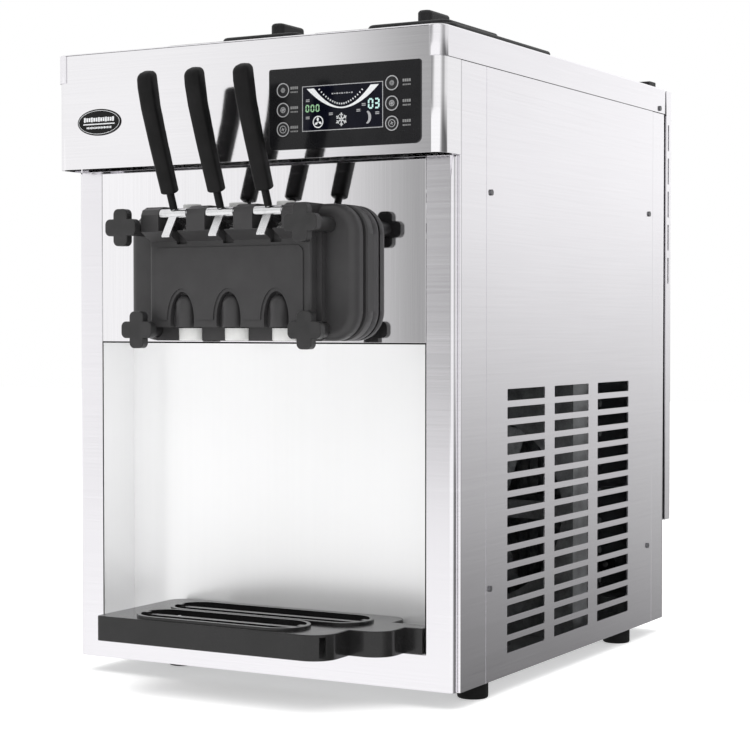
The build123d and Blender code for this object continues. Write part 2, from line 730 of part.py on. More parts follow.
tray_bottom = bay_floor + 0.3
tray_top = 92.0
ring_top = 95.5
tray_left = -160.0
tray_right = 157.0
lobe_right = 204.0
lobe_front = front - 50.0
tray_front = front - 106.0
ring_wall = 5.0
bar_half = 4.5
ring_places = (                 # middle across, middle in depth, half length, half depth
    (-4.0, front - 68.0, 116.0, 34.0),
    (18.0, front + 2.0, 138.0, 35.0),
)
with BuildPart() as drip_tray:
    with BuildSketch(Plane.XY.offset(tray_bottom)) as plan:
        with BuildLine():
            Polyline(
                (tray_left, bay_back - 3),
                (tray_left, tray_front),
                (tray_right, tray_front),
                (tray_right, lobe_front),
                (lobe_right, lobe_front),
                (lobe_right, front - 3),
                (bay_half - 3, front - 3),
                (bay_half - 3, front + 22),
                (tray_right + 18, front + 22),
                (tray_right + 18, bay_back - 3),
                close=True,
            )
        make_face()
        fillet(plan.vertices().group_by(Axis.Y)[0].sort_by(Axis.X)[0], 5.0)
        fillet(plan.vertices().group_by(Axis.Y)[0].sort_by(Axis.X)[-1], 29.0)
        lobe_row = plan.vertices().filter_by_position(Axis.Y, lobe_front - 1, lobe_front + 1)
        fillet(lobe_row.sort_by(Axis.X)[-1], 27.0)
        fillet(plan.vertices().group_by(Axis.Y)[-1], 20.0)
    extrude(amount=tray_top - tray_bottom)
    fillet(drip_tray.faces().sort_by(Axis.Z)[-1].edges(), 1.2)
    for x, y, half_length, half_depth in ring_places:
        with BuildSketch(Plane.XY.offset(tray_top - 2)):
            with Locations((x, y)):
                SlotOverall(2 * half_length, 2 * half_depth)
        extrude(amount=ring_top - tray_top + 2)
    fillet(drip_tray.faces().group_by(Axis.Z)[-1].edges(), 1.0)
    # basin below the top plate
    with BuildSketch(Plane.XY.offset(tray_bottom + 3)):
        with Locations(((tray_left + tray_right) / 2, (tray_front + bay_back) / 2)):
            Rectangle(tray_right - tray_left - 10, bay_back - tray_front - 14)
    extrude(amount=tray_top - tray_bottom - 6, mode=Mode.SUBTRACT)
    for x, y, half_length, half_depth in ring_places:
        with BuildSketch(Plane.XY.offset(tray_bottom + 5)):
            with Locations((x, y)):
                SlotOverall(2 * (half_length - ring_wall), 2 * (half_depth - ring_wall))
                Rectangle(2 * half_length, 2 * bar_half, mode=Mode.SUBTRACT)
        extrude(amount=50, mode=Mode.SUBTRACT)
        # the bar between the two openings of a ring is lower than its rim
        block(x - half_length + ring_wall + 6, x + half_length - ring_wall - 6,
              y - bar_half, y + bar_half, tray_top + 1, ring_top + 1, Mode.SUBTRACT)
save(drip_tray, "drip_tray")

# ================================================================ freezing and drive

jacket_r = 58.0
with BuildPart() as freezing_barrels:
    for sign in (-1, 1):
        rod_along_y(sign * barrel_x, barrel_z, clamp_back + 0.1, barrel_end, barrel_r + 2.9)
        rod_along_y(sign * barrel_x, barrel_z, front + 6, barrel_end - 12, jacket_r)
        rod_along_y(sign * barrel_x, barrel_z, clamp_back - 1, barrel_end - 6, barrel_r,
                    Mode.SUBTRACT)
        rod_along_y(sign * barrel_x, barrel_z, barrel_end - 8, barrel_end + 2, 8.0 + fit,
                    Mode.SUBTRACT)
        with Locations((sign * barrel_x, feed_y, barrel_z + 52)):
            Cylinder(air_tube_r - 2, 16, mode=Mode.SUBTRACT)
save(freezing_barrels, "freezing_barrels")

scraper_r = 44.0
for side, sign in sides:
    x = sign * barrel_x
    with BuildPart() as beater:
        rod_along_y(x, barrel_z, clamp_back + 3, front + 272, 8.0)
        for bar in range(4):
            angle = 90 * bar + 20
            with Locations((x + (scraper_r - 1) * cos(radians(angle)), front + 118,
                            barrel_z + (scraper_r - 1) * sin(radians(angle)))):
                Box(5, 240, 5)
        for ring_y in (front + 10, front + 82, front + 154, front + 228):
            with BuildSketch(facing_front(ring_y)):
                with Locations((x, barrel_z)):
                    Circle(46.5)
                    Circle(40.5, mode=Mode.SUBTRACT)
                    Rectangle(84, 7)
                    Rectangle(7, 84)
            extrude(amount=6)
    save(beater, f"beater_{side}")

# speed reducers behind the barrels
gear_front = front + 275.0
gear_rear = front + 334.0
with BuildPart() as gearboxes:
    for sign in (-1, 1):
        block(sign * barrel_x - 42, sign * barrel_x + 42, gear_front, gear_rear,
              barrel_z - 42, barrel_z + 42)
        block(sign * barrel_x - 52, sign * barrel_x + 52, gear_front + 6, gear_rear - 6,
              deck_z, deck_z + 8)
        block(sign * barrel_x - 30, sign * barrel_x + 30, gear_front + 6, gear_rear - 6,
              deck_z, barrel_z - 40)
    fillet(gearboxes.edges().filter_by(Axis.Y), 3.0)
    for sign in (-1, 1):
        rod_along_y(sign * barrel_x, barrel_z, gear_rear - 22, gear_rear + 1, 8.0 + fit,
                    Mode.SUBTRACT)
save(gearboxes, "gearboxes")


def v_pulley(x, z, y, radius, width):
    """Grooved belt wheel with its front face at depth y."""
    rod_along_y(x, z, y, y + width, radius)
    with BuildSketch(Plane.YZ.offset(x)) as groove:
        with BuildLine():
            Polyline(
                (y + 2.5, z + radius + 1),
                (y + 5.5, z + radius - 8),
                (y + width - 5.5, z + radius - 8),
                (y + width - 2.5, z + radius + 1),
                close=True,
            )
        make_face()
    revolve(groove.sketch, axis=Axis((x, y, z), (0, 1, 0)), mode=Mode.SUBTRACT)


big_r = 60.0
small_r = 32.0
for side, sign, y in (("left", -1, pulley_left_y), ("right", 1, pulley_right_y)):
    with BuildPart() as gearbox_pulley:
        v_pulley(sign * barrel_x, barrel_z, y, big_r, pulley_width)
        for turn in range(4):
            angle = radians(45 + 90 * turn)
            rod_along_y(sign * barrel_x + 32 * cos(angle), barrel_z + 32 * sin(angle),
                        y - 1, y + pulley_width + 1, 11.0, Mode.SUBTRACT)
        rod_along_y(sign * barrel_x, barrel_z, gear_rear - 20, y + pulley_width + 2, 8.0)
    save(gearbox_pulley, f"gearbox_pulley_{side}")

with BuildPart() as drive_motor:
    rod_along_y(motor_x, motor_z, front + 152, front + 330, 62)
    fillet(drive_motor.edges().filter_by(GeomType.CIRCLE), 6.0)
    for fin in range(12):
        angle = radians(30 * fin + 15)
        with Locations(Location((motor_x + 62 * cos(angle), front + 240,
                                 motor_z + 62 * sin(angle)), (0, -30 * fin - 15, 0))):
            Box(6, 130, 3)
    block(motor_x - 50, motor_x + 50, front + 180, front + 300, shelf_z, shelf_z + 12)
    rod_along_y(motor_x, motor_z, front + 305, front + 333, 8.0 + fit, Mode.SUBTRACT)
save(drive_motor, "drive_motor")

with BuildPart() as motor_pulley:
    v_pulley(motor_x, motor_z, pulley_left_y, small_r, pulley_width)
    v_pulley(motor_x, motor_z, pulley_right_y, small_r, pulley_width)
    rod_along_y(motor_x, motor_z, front + 308, pulley_right_y + pulley_width + 2, 8.0)
save(motor_pulley, "motor_pulley")

# the two belts, each a closed loop round a large and a small pulley
belt_sunk = 5.6                 # how far the belt's inner face lies inside the pulley rims
belt_thick = 6.0
belt_width = 3.6
with BuildPart() as drive_belts:
    for sign, y in ((-1, pulley_left_y), (1, pulley_right_y)):
        for grow, mode in ((belt_thick - belt_sunk, Mode.ADD), (-belt_sunk, Mode.SUBTRACT)):
            with BuildSketch(facing_front(y + (pulley_width + belt_width) / 2)):
                with BuildLine():
                    CenterArc((sign * barrel_x, barrel_z), big_r + grow, 0, 360)
                    CenterArc((motor_x, motor_z), small_r + grow, 0, 360)
                make_hull()
            extrude(amount=belt_width, mode=mode)
save(drive_belts, "drive_belts")

# ================================================================ refrigeration

compressor_x = 120.0
compressor_y = front + 225.0
pan_top = foot_height + sheet
with BuildPart() as compressor:
    with Locations((compressor_x, compressor_y, pan_top + 12 + 85)):
        Cylinder(74, 170)
    fillet(compressor.edges().filter_by(GeomType.CIRCLE).group_by(Axis.Z)[-1], 34.0)
    fillet(compressor.edges().filter_by(GeomType.CIRCLE).group_by(Axis.Z)[0], 20.0)
    with Locations((compressor_x, compressor_y, pan_top + 12 + 90)):
        Cylinder(77, 6)
    block(compressor_x - 85, compressor_x + 85, compressor_y - 55, compressor_y + 55,
          pan_top + 9, pan_top + 14)
    for dx in (-70, 70):
        for dy in (-42, 42):
            with Locations((compressor_x + dx, compressor_y + dy, pan_top + 4.5)):
                Cylinder(9, 9)
    with Locations((compressor_x + 25, compressor_y - 20, pan_top + 190)):
        Cylinder(5, 60)
save(compressor, "compressor")

core_x0, core_x1 = -40.0, 240.0
core_y0, core_y1 = front + 452.0, front + 512.0
core_z0, core_z1 = pan_top, 362.0
with BuildPart() as condenser:
    block(core_x0 + 14, core_x1 - 14, core_y0 + 4, core_y1 - 4, core_z0 + 6, core_z1 - 6)
    for fin in range(15):
        x = core_x0 + 26 + fin * 16.2
        block(x, x + 9, core_y0 + 3, core_y0 + 14, core_z0 + 12, core_z1 - 12, Mode.SUBTRACT)
        block(x, x + 9, core_y1 - 14, core_y1 - 3, core_z0 + 12, core_z1 - 12, Mode.SUBTRACT)
    for x in (core_x0 + 10, core_x1 - 14):
        block(x, x + 4, core_y0, core_y1, core_z0, core_z1)
    for row in range(8):
        for y in (core_y0 + 16, core_y1 - 16):
            z = core_z0 + 30 + row * 40
            with Locations(Location((core_x1 - 8, y, z), (0, 90, 0))):
                Cylinder(4.5, 14)
save(condenser, "condenser")

fan_x, fan_z = 100.0, 192.0
fan_r = 118.0
with BuildPart() as fan_shroud:
    block(core_x0, core_x1, front + 400, core_y0 - 0.2, core_z0, core_z1)
    block(core_x0 + 2, core_x1 - 2, front + 402, core_y0 + 1, core_z0 + 2, core_z1 - 2,
          Mode.SUBTRACT)
    rod_along_y(fan_x, fan_z, front + 395, front + 410, fan_r + 6, Mode.SUBTRACT)
    # fan motor on a cross bar
    block(core_x0, core_x1, front + 400, front + 404, fan_z - 12, fan_z + 12)
    rod_along_y(fan_x, fan_z, front + 378, front + 412, 34)
    rod_along_y(fan_x, fan_z, front + 398, front + 414, 4 + fit, Mode.SUBTRACT)
save(fan_shroud, "fan_shroud")

with BuildPart() as condenser_fan:
    rod_along_y(fan_x, fan_z, front + 416, front + 440, 30)
    rod_along_y(fan_x, fan_z, front + 399, front + 420, 4)
    for blade in range(5):
        angle = 72 * blade
        mid = Vector(fan_x + 71 * cos(radians(angle)), front + 428, fan_z + 71 * sin(radians(angle)))
        with Locations(Location(mid, (0, -angle, 0))):
            with Locations(Location((0, 0, 0), (28, 0, 0))):
                Box(88, 3, 44)
save(condenser_fan, "condenser_fan")

# gland that the mains lead would leave by
with BuildPart() as cord_gland:
    rod_along_y(gland_x, gland_z, rear - 6, rear + 18, gland_r)
    for near, far in ((rear + 0.05, rear + 5), (rear - 4, rear - sheet - 0.05)):
        rod_along_y(gland_x, gland_z, near, far, gland_r + 5)
    fillet(cord_gland.edges().filter_by(GeomType.CIRCLE).sort_by(Axis.Y)[-1], 2.5)
    rod_along_y(gland_x, gland_z, rear - 10, rear + 25, gland_bore, Mode.SUBTRACT)
save(cord_gland, "cord_gland")

# panel screws
with BuildPart() as screws:
    for sign in (-1, 1):
        for depth, z in (*panel_screws, lip_screw):
            face = half_width if z < lip_z else cover_half
            with Locations(Location((sign * (face + 0.95), front + depth, z), (0, 90, 0))):
                Cylinder(3.6, 1.8)
            with Locations(Location((sign * (face - 3), front + depth, z), (0, 90, 0))):
                Cylinder(2.0, 8)
save(screws, "screws")
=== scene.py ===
import json
import math

import bmesh
import bpy
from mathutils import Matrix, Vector


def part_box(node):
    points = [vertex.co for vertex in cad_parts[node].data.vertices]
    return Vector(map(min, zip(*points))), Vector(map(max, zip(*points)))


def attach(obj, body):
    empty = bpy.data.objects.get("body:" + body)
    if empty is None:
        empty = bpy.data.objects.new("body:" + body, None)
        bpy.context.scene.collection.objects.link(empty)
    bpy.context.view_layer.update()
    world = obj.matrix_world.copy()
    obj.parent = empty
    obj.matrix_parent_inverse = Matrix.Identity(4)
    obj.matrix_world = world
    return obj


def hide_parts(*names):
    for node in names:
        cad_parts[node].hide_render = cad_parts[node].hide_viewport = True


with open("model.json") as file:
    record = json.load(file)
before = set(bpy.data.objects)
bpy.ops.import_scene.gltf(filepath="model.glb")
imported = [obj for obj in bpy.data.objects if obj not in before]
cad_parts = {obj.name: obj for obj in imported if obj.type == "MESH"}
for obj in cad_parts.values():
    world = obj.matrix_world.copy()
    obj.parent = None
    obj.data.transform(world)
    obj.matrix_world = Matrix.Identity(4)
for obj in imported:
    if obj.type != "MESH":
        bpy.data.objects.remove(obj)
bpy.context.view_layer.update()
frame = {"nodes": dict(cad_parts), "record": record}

# Looks of a countertop soft serve machine. Everything is in metres, in the frame of the packed
# model: +Z up, -Y the front, the origin on the counter under the middle of the machine.

nodes = frame["nodes"]
record = frame["record"]
scene = bpy.context.scene
mm = 0.001
sides = ("left", "right")
spouts = ("left", "centre", "right")


def middle(node):
    """Middle of a node's box."""
    low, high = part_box(node)
    return (low + high) / 2


# ---------------------------------------------------------------- camera

# long lens, to the right of the machine and level with its middle; its place follows the front
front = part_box("front_frame")[0].y
camera = bpy.data.objects.new("camera", bpy.data.cameras.new("camera"))
scene.collection.objects.link(camera)
camera.data.lens = 91.16
camera.data.sensor_width = 36.0
camera.location = (1.2386, front - 1.9192, 0.4410)
aim = Vector((0.0171, front + 0.2610, 0.3738))
camera.rotation_mode = "QUATERNION"
camera.rotation_quaternion = (aim - camera.location).to_track_quat("-Z", "Y")
scene.camera = camera

# ---------------------------------------------------------------- studio

# brightness of the studio walls by direction: degrees from the front, towards the right
wall_light = (
    (-180, 1.0), (-120, 0.95), (-60, 1.0), (-36, 1.0), (-31, 0.90), (-28, 0.40), (-22, 0.32),
    (-12, 0.50), (0, 0.95), (20, 1.0), (55, 1.0), (80, 0.50), (95, 0.42), (112, 0.85),
    (150, 0.88), (157, 1.02), (164, 1.18),
)
foot_shade = 0.83               # how much darker the low walls towards the right rear are


def grey(value):
    """Neutral colour."""
    return (value, value, value, 1.0)


def math_node(tree, operation, first, second=None):
    """Math node fed by two sockets or numbers."""
    node = tree.nodes.new("ShaderNodeMath")
    node.operation = operation
    for socket, value in zip(node.inputs, (first, second)):
        if isinstance(value, (int, float)):
            socket.default_value = value
        elif value is not None:
            tree.links.new(value, socket)
    return node.outputs[0]


def map_range(tree, value, low, high, to_low, to_high):
    """Map a value from one range to another, held at its ends."""
    node = tree.nodes.new("ShaderNodeMapRange")
    for name, number in (("From Min", low), ("From Max", high), ("To Min", to_low),
                         ("To Max", to_high)):
        node.inputs[name].default_value = number
    tree.links.new(value, node.inputs["Value"])
    return node.outputs["Result"]


def make_world():
    """White studio whose walls are darker to one side, so that the steel has gradients."""
    world = bpy.data.worlds.new("studio")
    scene.world = world
    world.use_nodes = True
    tree = world.node_tree
    back = tree.nodes["Background"]
    direction = tree.nodes.new("ShaderNodeTexCoord")
    split = tree.nodes.new("ShaderNodeSeparateXYZ")
    tree.links.new(direction.outputs["Generated"], split.inputs[0])
    ahead = math_node(tree, "MULTIPLY", split.outputs["Y"], -1.0)
    angle = math_node(tree, "ARCTAN2", split.outputs["X"], ahead)
    turn = map_range(tree, angle, -math.pi, math.pi, 0.0, 1.0)
    ramp = tree.nodes.new("ShaderNodeValToRGB")
    stops = ramp.color_ramp.elements
    while len(stops) < len(wall_light):
        stops.new(0.5)
    for stop, (degrees, light) in zip(stops, wall_light):
        stop.position = degrees / 360 + 0.5
        stop.color = grey(light)
    tree.links.new(turn, ramp.inputs["Fac"])
    # low walls towards the right rear are darker, so the side darkens towards its foot
    lit_side = math_node(tree, "ADD", math_node(tree, "MULTIPLY", split.outputs["X"], 0.45),
                         math_node(tree, "MULTIPLY", split.outputs["Y"], 0.89))
    towards = map_range(tree, lit_side, 0.0, 0.7, 0.0, 1.0)
    height = map_range(tree, split.outputs["Z"], -0.19, 0.07, 1.0, 0.0)
    loss = math_node(tree, "MULTIPLY", math_node(tree, "MULTIPLY", height, towards),
                     foot_shade)
    level = math_node(tree, "SUBTRACT", 1.0, loss)
    # the dark screen in front of the machine does not reach down to the counter
    below = map_range(tree, split.outputs["Z"], -0.10, 0.01, 1.08, 0.0)
    before = map_range(tree, split.outputs["Y"], -0.5, -0.2, 1.0, 0.0)
    screen = math_node(tree, "MAXIMUM", ramp.outputs["Color"],
                       math_node(tree, "MULTIPLY", below, before))
    light = math_node(tree, "MULTIPLY", screen, level)
    direct = tree.nodes.new("ShaderNodeLightPath")
    seen = math_node(tree, "MAXIMUM", light, direct.outputs["Is Camera Ray"])
    tree.links.new(seen, back.inputs["Color"])


make_world()
scene.view_settings.view_transform = "Standard"

overhead = bpy.data.objects.new("overhead", bpy.data.lights.new("overhead", "SUN"))
scene.collection.objects.link(overhead)
overhead.data.energy = 1.7
overhead.data.angle = math.radians(80)
overhead.rotation_euler = (math.radians(8), math.radians(-4), 0)
overhead.visible_glossy = False

# ---------------------------------------------------------------- materials


def noise(tree, stretch, detail=4.0):
    """Noise in object space, with its cycles per metre along each axis."""
    place = tree.nodes.new("ShaderNodeTexCoord")
    mapping = tree.nodes.new("ShaderNodeMapping")
    mapping.inputs["Scale"].default_value = stretch
    tree.links.new(place.outputs["Object"], mapping.inputs["Vector"])
    texture = tree.nodes.new("ShaderNodeTexNoise")
    texture.inputs["Scale"].default_value = 1.0
    texture.inputs["Detail"].default_value = detail
    tree.links.new(mapping.outputs["Vector"], texture.inputs["Vector"])
    return texture.outputs["Fac"]


grain_depth = 0.05 * mm         # relief of the finest grain
grain_span = (0.36, 0.64)       # the noise's usual range, from the dark tint to the light one


def surface(name, dark, light, roughness, grain, fine, bump, metallic=0.0, specular=0.5):
    """Material whose colour, roughness and relief vary by procedural grain."""
    material = bpy.data.materials.new(name)
    material.use_nodes = True
    tree = material.node_tree
    shader = tree.nodes["Principled BSDF"]
    broad = noise(tree, grain, 3.0)
    small = noise(tree, fine, 5.0)
    both = math_node(tree, "ADD", math_node(tree, "MULTIPLY", broad, 0.6),
                     math_node(tree, "MULTIPLY", small, 0.4))
    tint = tree.nodes.new("ShaderNodeValToRGB")
    for stop, position, colour in zip(tint.color_ramp.elements, grain_span, (dark, light)):
        stop.position = position
        stop.color = (*colour, 1.0)
    tree.links.new(both, tint.inputs["Fac"])
    tree.links.new(tint.outputs["Color"], shader.inputs["Base Color"])
    tree.links.new(map_range(tree, both, *grain_span, *roughness), shader.inputs["Roughness"])
    relief = tree.nodes.new("ShaderNodeBump")
    relief.inputs["Strength"].default_value = bump
    relief.inputs["Distance"].default_value = grain_depth
    tree.links.new(small, relief.inputs["Height"])
    tree.links.new(relief.outputs["Normal"], shader.inputs["Normal"])
    shader.inputs["Metallic"].default_value = metallic
    shader.inputs["Specular IOR Level"].default_value = specular
    return material


across = (6, 6, 700)            # brushed along the width and depth: streaks change with height
upright = (700, 700, 6)         # brushed up and down
materials = {
    "head_steel": surface("head_steel", (0.84, 0.83, 0.85), (0.90, 0.89, 0.91), (0.05, 0.09),
                          (2, 2, 5), across, 0.05, metallic=1.0),
    "screw_steel": surface("screw_steel", (0.10, 0.10, 0.105), (0.20, 0.20, 0.21), (0.30, 0.45),
                           (300, 300, 300), (2000, 2000, 2000), 0.2, metallic=0.9),
    "knob_plastic": surface("knob_plastic", (0.020, 0.020, 0.020), (0.030, 0.029, 0.030),
                            (0.34, 0.44), (60, 60, 60), (1700, 1700, 1700), 0.25, specular=0.35),
    "stainless": surface("stainless", (0.83, 0.815, 0.845), (0.90, 0.885, 0.915), (0.13, 0.20),
                         (2, 2, 5), across, 0.07, metallic=1.0),
    "polished_steel": surface("polished_steel", (0.84, 0.83, 0.85), (0.92, 0.91, 0.93),
                              (0.03, 0.06), (3, 3, 3), upright, 0.02, metallic=1.0),
    "bare_steel": surface("bare_steel", (0.70, 0.70, 0.71), (0.86, 0.86, 0.87), (0.16, 0.30),
                          (90, 90, 90), (1500, 1500, 1500), 0.12, metallic=1.0),
    "zinc_steel": surface("zinc_steel", (0.22, 0.225, 0.23), (0.40, 0.405, 0.42), (0.34, 0.52),
                          (45, 45, 45), (400, 400, 400), 0.15, metallic=0.9),
    "head_plastic": surface("head_plastic", (0.034, 0.033, 0.034), (0.042, 0.041, 0.042),
                            (0.36, 0.46), (40, 40, 40), (1800, 1800, 1800), 0.22, specular=0.32),
    "grip_plastic": surface("grip_plastic", (0.004, 0.004, 0.004), (0.009, 0.0085, 0.009),
                            (0.34, 0.44), (50, 50, 50), (1700, 1700, 1700), 0.30, specular=0.13),
    "tray_plastic": surface("tray_plastic", (0.009, 0.009, 0.009), (0.014, 0.0135, 0.014),
                            (0.15, 0.21), (25, 25, 25), (1500, 1500, 1500), 0.06, specular=0.42),
    "lid_plastic": surface("lid_plastic", (0.018, 0.018, 0.019), (0.028, 0.028, 0.029),
                           (0.40, 0.52), (30, 30, 30), (1500, 1500, 1500), 0.25, specular=0.15),
    "panel_gloss": surface("panel_gloss", (0.006, 0.006, 0.007), (0.010, 0.010, 0.011),
                           (0.10, 0.16), (30, 30, 30), (900, 900, 900), 0.04, specular=0.28),
    "display_glass": surface("display_glass", (0.002, 0.0022, 0.006), (0.004, 0.0045, 0.010),
                             (0.08, 0.14), (60, 60, 60), (900, 900, 900), 0.03, specular=0.16),
    "button_plastic": surface("button_plastic", (0.012, 0.012, 0.013), (0.022, 0.022, 0.023),
                              (0.18, 0.26), (120, 120, 120), (1500, 1500, 1500), 0.1,
                              specular=0.3),
    "badge_black": surface("badge_black", (0.003, 0.003, 0.003), (0.006, 0.006, 0.006),
                           (0.16, 0.24), (60, 60, 60), (1500, 1500, 1500), 0.08, specular=0.2),
    "rubber": surface("rubber", (0.005, 0.005, 0.005), (0.011, 0.011, 0.011), (0.60, 0.78),
                      (80, 80, 80), (1400, 1400, 1400), 0.35, specular=0.12),
    "white_plastic": surface("white_plastic", (0.62, 0.62, 0.61), (0.70, 0.70, 0.69),
                             (0.32, 0.42), (60, 60, 60), (1500, 1500, 1500), 0.15),
    "motor_paint": surface("motor_paint", (0.10, 0.12, 0.14), (0.16, 0.18, 0.20), (0.34, 0.46),
                           (60, 60, 60), (900, 900, 900), 0.25),
    "black_paint": surface("black_paint", (0.018, 0.018, 0.018), (0.035, 0.035, 0.035),
                           (0.30, 0.44), (50, 50, 50), (900, 900, 900), 0.25),
    "cast_aluminium": surface("cast_aluminium", (0.44, 0.44, 0.45), (0.62, 0.62, 0.63),
                              (0.42, 0.60), (120, 120, 120), (900, 900, 900), 0.5, metallic=1.0),
    "fin_aluminium": surface("fin_aluminium", (0.10, 0.105, 0.11), (0.24, 0.245, 0.25),
                             (0.36, 0.54), (120, 120, 120), (900, 900, 900), 0.2, metallic=0.9),
    "pulley_iron": surface("pulley_iron", (0.12, 0.12, 0.13), (0.22, 0.22, 0.23), (0.34, 0.50),
                           (90, 90, 90), (1200, 1200, 1200), 0.25, metallic=0.9),
}
print_grey = surface("print_grey", (0.30, 0.30, 0.31), (0.40, 0.40, 0.41), (0.45, 0.60),
                     (400, 400, 400), (2500, 2500, 2500), 0.1, specular=0.2)
print_white = surface("print_white", (0.62, 0.63, 0.64), (0.74, 0.75, 0.76), (0.40, 0.55),
                      (400, 400, 400), (2500, 2500, 2500), 0.1, specular=0.2)
label_grey = surface("button_label", (0.16, 0.16, 0.16), (0.24, 0.24, 0.24), (0.5, 0.6),
                     (500, 500, 500), (2500, 2500, 2500), 0.1, specular=0.2)
lit_green = surface("lit_green", (0.22, 0.44, 0.24), (0.36, 0.60, 0.36), (0.4, 0.5),
                    (600, 600, 600), (2500, 2500, 2500), 0.05, specular=0.1)
lit_teal = surface("lit_teal", (0.42, 0.66, 0.62), (0.58, 0.80, 0.76), (0.4, 0.5),
                   (600, 600, 600), (2500, 2500, 2500), 0.05, specular=0.1)
# the bay's liner: a lighter, half-metallic copy of the stainless, painted light standing in for
# the light bounced about inside the bay
liner_steel_painted_bright = surface("liner_steel_painted_bright", (0.96, 0.96, 0.965), (0.98, 0.98, 0.985), (0.22, 0.25),
                      (3, 3, 3), (160, 160, 3), 0.004, metallic=0.42)
floor_paper = surface("floor_paper", (0.90, 0.90, 0.90), (0.93, 0.93, 0.93), (0.8, 0.9),
                      (8, 8, 8), (500, 500, 500), 0.05, specular=0.1)
floor_shader = floor_paper.node_tree.nodes["Principled BSDF"]
floor_shader.inputs["Emission Color"].default_value = grey(1.0)
floor_shader.inputs["Emission Strength"].default_value = 0.42

# ---------------------------------------------------------------- the CAD pieces

for row in record["subparts"]:
    piece = nodes[row["node"]]
    piece.data.materials.clear()
    piece.data.materials.append(materials[row["material_slot"]])
# the liner gets the brightened copy of the steel: painted bounce light
nodes["bay_liner"].data.materials[0] = liner_steel_painted_bright
nodes["head_shell"].data.materials[0] = materials["head_steel"]
nodes["screws"].data.materials[0] = materials["screw_steel"]
for level in ("top", "bottom"):
    for side in sides:
        nodes[f"knob_{level}_{side}"].data.materials[0] = materials["knob_plastic"]

soft_edges = {                  # rounding of the edges that the CAD leaves sharp
    "front_frame": 0.8, "front_plate": 0.5, "head_shell": 0.5, "top_cover": 0.4,
    "rear_panel": 0.4, "rear_vent_cover": 0.4, "dispensing_head": 0.5, "cylinder_flange": 0.5,
    "lid_left": 0.6, "lid_right": 0.6, "rear_trim": 0.6, "feet": 0.5, "gearboxes": 0.8,
    "chassis_frame": 0.5, "hoppers": 0.4,
}
for name, radius in soft_edges.items():
    weld = nodes[name].modifiers.new("weld", "WELD")
    weld.merge_threshold = 0.01 * mm
    bevel = nodes[name].modifiers.new("bevel", "BEVEL")
    bevel.width = radius * mm
    bevel.segments = 2
    bevel.limit_method = "ANGLE"
    bevel.angle_limit = math.radians(35)
    bevel.harden_normals = True

# ---------------------------------------------------------------- small printed and lit marks

mark_lift = 0.12 * mm           # how far a mark stands out of its surface
mark_thick = 0.35 * mm


def add_band(mesh, outer, inner, y, closed=False, thick=mark_thick):
    """Solid strip between two lines of (x, z) points, its front face at y."""
    rings = []
    for depth in (y, y + thick):
        rings.append([[mesh.verts.new((x, depth, z)) for x, z in line]
                      for line in (outer, inner)])
    (front_out, front_in), (back_out, back_in) = rings
    count = len(outer)
    last = count if closed else count - 1
    for here in range(last):
        there = (here + 1) % count
        for a, b in ((front_out, front_in), (front_in, back_in), (back_in, back_out),
                     (back_out, front_out)):
            mesh.faces.new((a[here], a[there], b[there], b[here]))
    if not closed:
        for end in (0, -1):
            mesh.faces.new((front_out[end], front_in[end], back_in[end], back_out[end]))


def circle_points(x, z, radius_x, radius_z, start=0.0, end=2 * math.pi, count=48, closed=True):
    """Points on an ellipse or a part of it."""
    steps = count if closed else count - 1
    angles = [start + (end - start) * step / steps for step in range(count)]
    return [(x + radius_x * math.cos(a), z + radius_z * math.sin(a)) for a in angles]


def add_ring(mesh, x, z, radius, width, y):
    """Flat ring."""
    add_band(mesh, circle_points(x, z, radius, radius),
             circle_points(x, z, radius - width, radius - width), y, closed=True)


def add_bar(mesh, x, z, length, width, y, turn=0.0, thick=mark_thick):
    """Flat bar about a middle, turned about the depth."""
    along = Vector((math.cos(turn), math.sin(turn))) * length / 2
    aside = Vector((-math.sin(turn), math.cos(turn))) * width / 2
    spot = Vector((x, z))
    add_band(mesh, [spot - along + aside, spot + along + aside],
             [spot - along - aside, spot + along - aside], y, thick=thick)


def finish_marks(mesh, name, material, body):
    """Turn gathered strips into a piece that rides on a body."""
    bmesh.ops.recalc_face_normals(mesh, faces=mesh.faces)
    data = bpy.data.meshes.new(name)
    mesh.to_mesh(data)
    mesh.free()
    data.materials.append(material)
    piece = bpy.data.objects.new(name, data)
    scene.collection.objects.link(piece)
    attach(piece, body)
    return piece


# display: window corners, and a place in it by its fractions from the left and from the top
window_low, window_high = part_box("display_window")
window_wide = window_high.x - window_low.x
window_tall = window_high.z - window_low.z
window_y = window_low.y - mark_lift


def in_window(across_part, down_part):
    """Place in the display window."""
    return (window_low.x + across_part * window_wide, window_high.z - down_part * window_tall)


def bowl(left, bottom, right, top, count=41):
    """Line of a bowl hung between two points of the window, with its lowest point between."""
    points = []
    for step in range(count):
        part = 2 * step / (count - 1) - 1
        across_part = (left + right) / 2 + part * (right - left) / 2
        points.append(in_window(across_part, bottom - (bottom - top) * abs(part) ** 1.9))
    return points


def digit(mesh, x, z, tall, segments):
    """Seven-segment figure, lit where the name of a segment is given."""
    wide = tall * 0.5
    width = tall * 0.19
    places = {
        "a": (0, 0.5, 0), "g": (0, 0, 0), "d": (0, -0.5, 0), "f": (-0.5, 0.25, 1),
        "b": (0.5, 0.25, 1), "e": (-0.5, -0.25, 1), "c": (0.5, -0.25, 1),
    }
    for segment in segments:
        dx, dz, upright_bar = places[segment]
        length = tall * 0.40 if upright_bar else wide * 0.80
        add_bar(mesh, x + dx * wide, z + dz * tall, length, width, window_y,
                math.radians(86) if upright_bar else 0.0)


